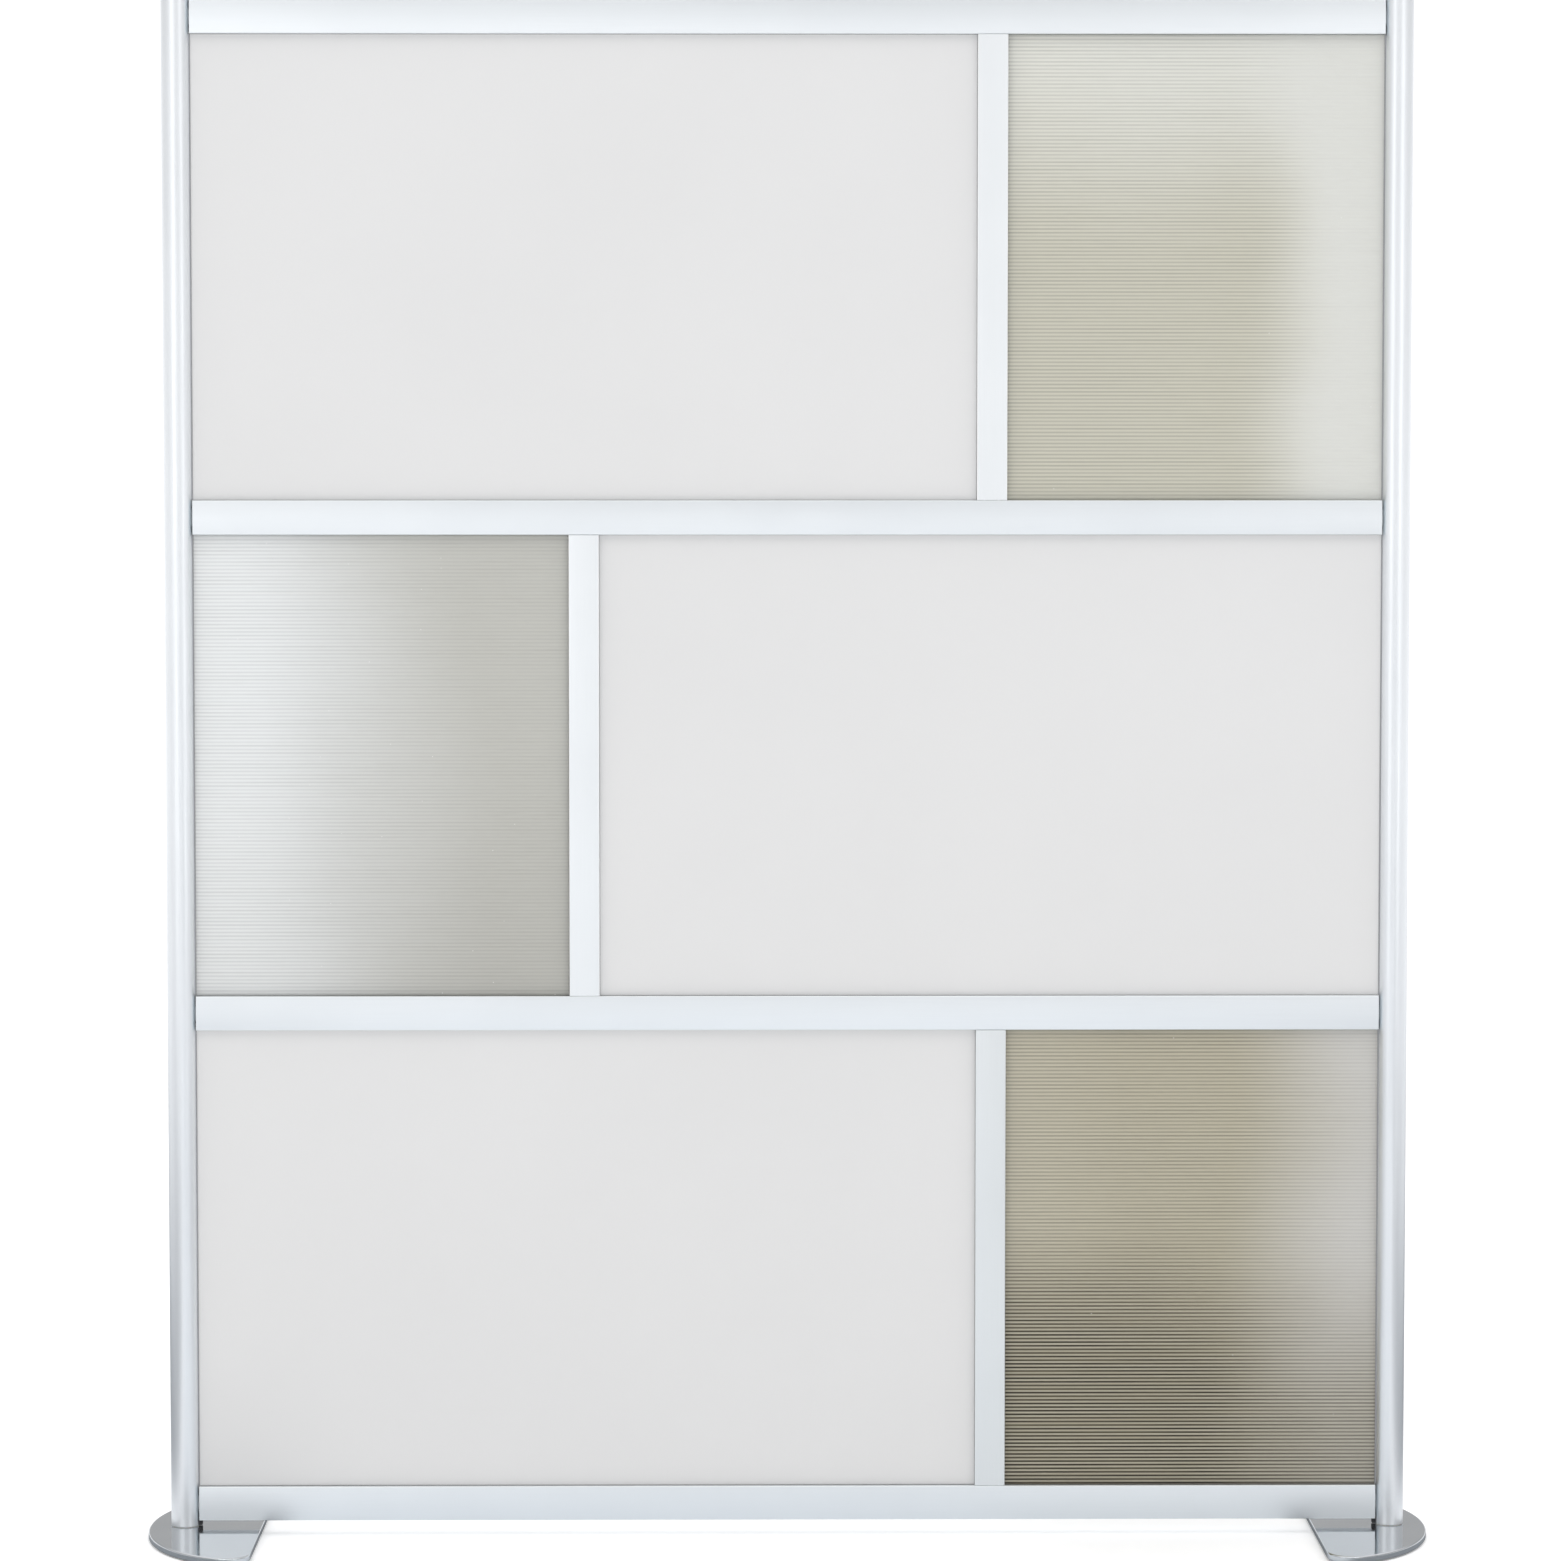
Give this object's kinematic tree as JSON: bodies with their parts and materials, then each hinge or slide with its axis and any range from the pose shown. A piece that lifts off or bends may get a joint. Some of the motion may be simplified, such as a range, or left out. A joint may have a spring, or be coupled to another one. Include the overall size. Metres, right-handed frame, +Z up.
{
  "type": "partition wall",
  "caption": "Free-standing partition wall: round aluminium posts on D-shaped foot plates, flat rails, and solid and fluted translucent panels in a brick pattern.",
  "frame": {"origin": "on the floor, midway between the posts and midway through the wall", "axes": "+X along the wall to the right when seen from the front, +Y through the wall to the back, +Z up"},
  "size_m": [1.577, 0.3942, 1.905],
  "materials": {
    "post_aluminium": "satin anodised",
    "cap_aluminium": "satin anodised",
    "rail_aluminium": "pale satin anodised",
    "upright_aluminium": "pale satin anodised",
    "groove_cover": "satin anodised",
    "solid_panel": "smooth pale grey laminate",
    "fluted_panel": "translucent twin-wall sheet",
    "gasket_rubber": "black",
    "foot_plate": "polished",
    "foot_pad": "black",
    "bolt_steel": "zinc plated",
    "screw_steel": "zinc plated",
    "connector_metal": "cast",
    "washer_nylon": "natural"
  },
  "bodies": {
    "wall": {"bottom_fluted_panel": "fluted_panel", "bottom_groove_cover": "groove_cover", "bottom_rail": "rail_aluminium", "bottom_row_gaskets": "gasket_rubber", "bottom_solid_panel": "solid_panel", "bottom_upright": "upright_aluminium", "left_foot_bolt": "bolt_steel", "left_post": "post_aluminium", "left_post_cap": "cap_aluminium", "left_post_gaskets": "gasket_rubber", "left_rail_connectors": "connector_metal", "left_rail_screws": "screw_steel", "left_swivel_washer": "washer_nylon", "lower_rail": "rail_aluminium", "middle_fluted_panel": "fluted_panel", "middle_row_gaskets": "gasket_rubber", "middle_solid_panel": "solid_panel", "middle_upright": "upright_aluminium", "right_foot_bolt": "bolt_steel", "right_post": "post_aluminium", "right_post_cap": "cap_aluminium", "right_post_gaskets": "gasket_rubber", "right_rail_connectors": "connector_metal", "right_rail_screws": "screw_steel", "right_swivel_washer": "washer_nylon", "top_fluted_panel": "fluted_panel", "top_groove_cover": "groove_cover", "top_rail": "rail_aluminium", "top_row_gaskets": "gasket_rubber", "top_solid_panel": "solid_panel", "top_upright": "upright_aluminium", "upper_rail": "rail_aluminium", "upright_connectors": "connector_metal", "upright_screws": "screw_steel"},
    "left_foot": {"left_foot_plate": "foot_plate", "left_foot_pads": "foot_pad"},
    "right_foot": {"right_foot_plate": "foot_plate", "right_foot_pads": "foot_pad"}
  },
  "joints": [
    {"name": "left_foot_swivel", "type": "hinge", "parent": "wall", "child": "left_foot", "pos_m": [-0.7445, 0, 0.006], "axis": [0, 0, 1], "range_deg": [-90, 90]},
    {"name": "right_foot_swivel", "type": "hinge", "parent": "wall", "child": "right_foot", "pos_m": [0.7445, 0, 0.006], "axis": [0, 0, 1], "range_deg": [-90, 90]}
  ]
}
